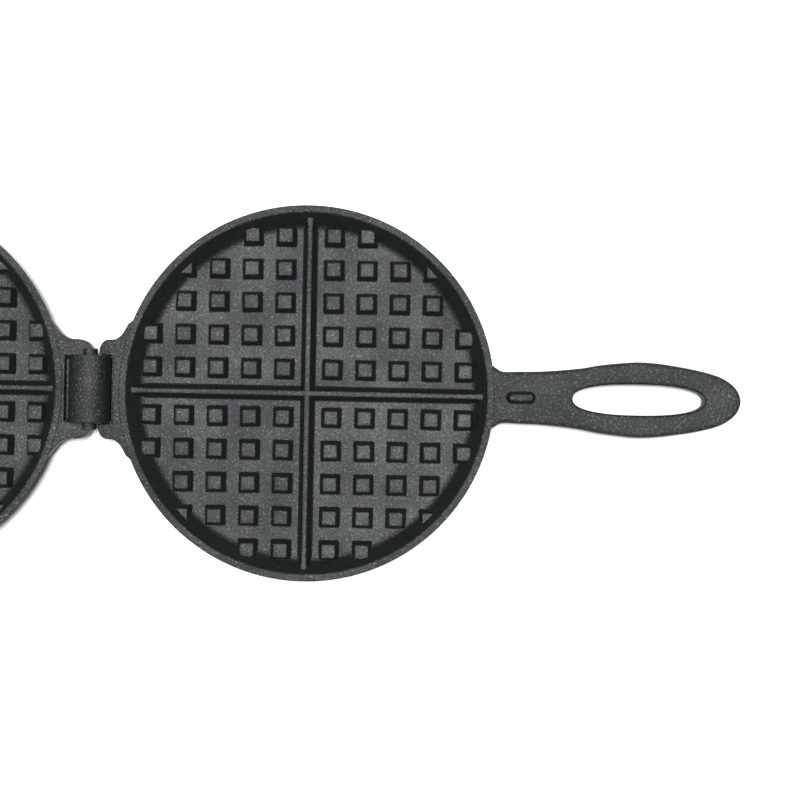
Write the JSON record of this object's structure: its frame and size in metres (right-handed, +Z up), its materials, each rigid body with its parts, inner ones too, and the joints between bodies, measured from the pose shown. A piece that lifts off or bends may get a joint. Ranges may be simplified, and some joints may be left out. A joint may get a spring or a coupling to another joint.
{
  "type": "stovetop waffle iron",
  "caption": "Round cast-iron stovetop waffle iron in two halves with peg grids, oval-holed handles and a lift-off hook-and-bar hinge, lying open and flat.",
  "frame": {"origin": "the middle of the lower half's flat underside, on the table", "axes": "+X along the lower half's handle, +Y along the hinge's axis, +Z up"},
  "size_m": [0.6876, 0.198, 0.0284],
  "materials": {
    "cast_iron": "bare seasoned sand-cast iron, matt"
  },
  "bodies": {
    "lower": {"lower_plate": "cast_iron"},
    "upper": {"upper_plate": "cast_iron"}
  },
  "joints": [
    {"name": "upper_swing", "type": "hinge", "parent": "lower", "child": "upper", "pos_m": [-0.1136, 0, 0.01765], "axis": [0, 1, 0], "range_deg": [0, 180]}
  ]
}
